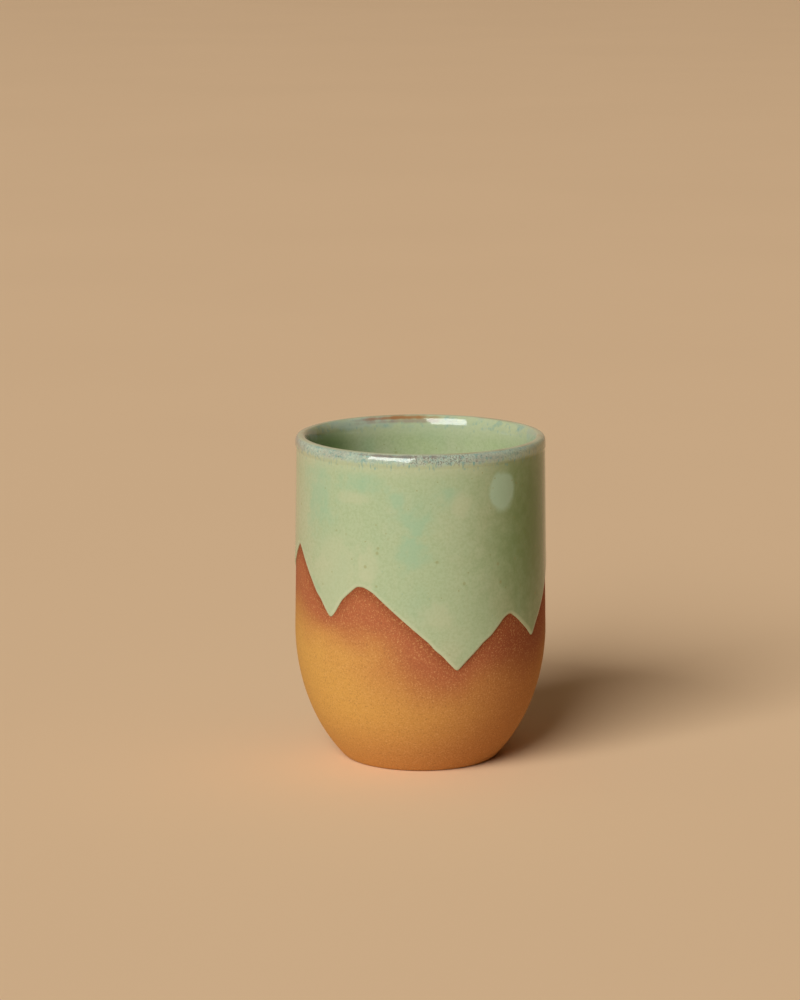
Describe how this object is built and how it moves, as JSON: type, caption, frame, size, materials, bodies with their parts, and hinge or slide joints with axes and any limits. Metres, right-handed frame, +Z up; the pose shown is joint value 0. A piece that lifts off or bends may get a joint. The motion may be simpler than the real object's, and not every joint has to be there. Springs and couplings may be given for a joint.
{
  "type": "tall stoneware cup",
  "caption": "Tall round handle-less stoneware drinking cup with a rounded bare-clay base, a zigzag-edged glaze coat outside, a glazed inside and a banded lip.",
  "frame": {"origin": "centre of the foot, on the surface that the cup stands on", "axes": "+Z up along the turning axis, out of the mouth; -Y faces the viewer, with the lowest tip of the glaze on that side"},
  "size_m": [0.084, 0.0847, 0.1089],
  "materials": {
    "bare_clay": "matte sandy stoneware, ochre with a red-brown flash along the glaze",
    "green_glaze": "glossy pale green glaze with sparse specks",
    "rim_glaze": "glossy mottled blue-grey glaze breaking brown on the edge",
    "liner_glaze": "glossy pale green glaze"
  },
  "bodies": {
    "root": {"clay_body": "bare_clay", "outer_glaze": "green_glaze", "rim_glaze": "rim_glaze", "liner_glaze": "liner_glaze"}
  },
  "joints": []
}
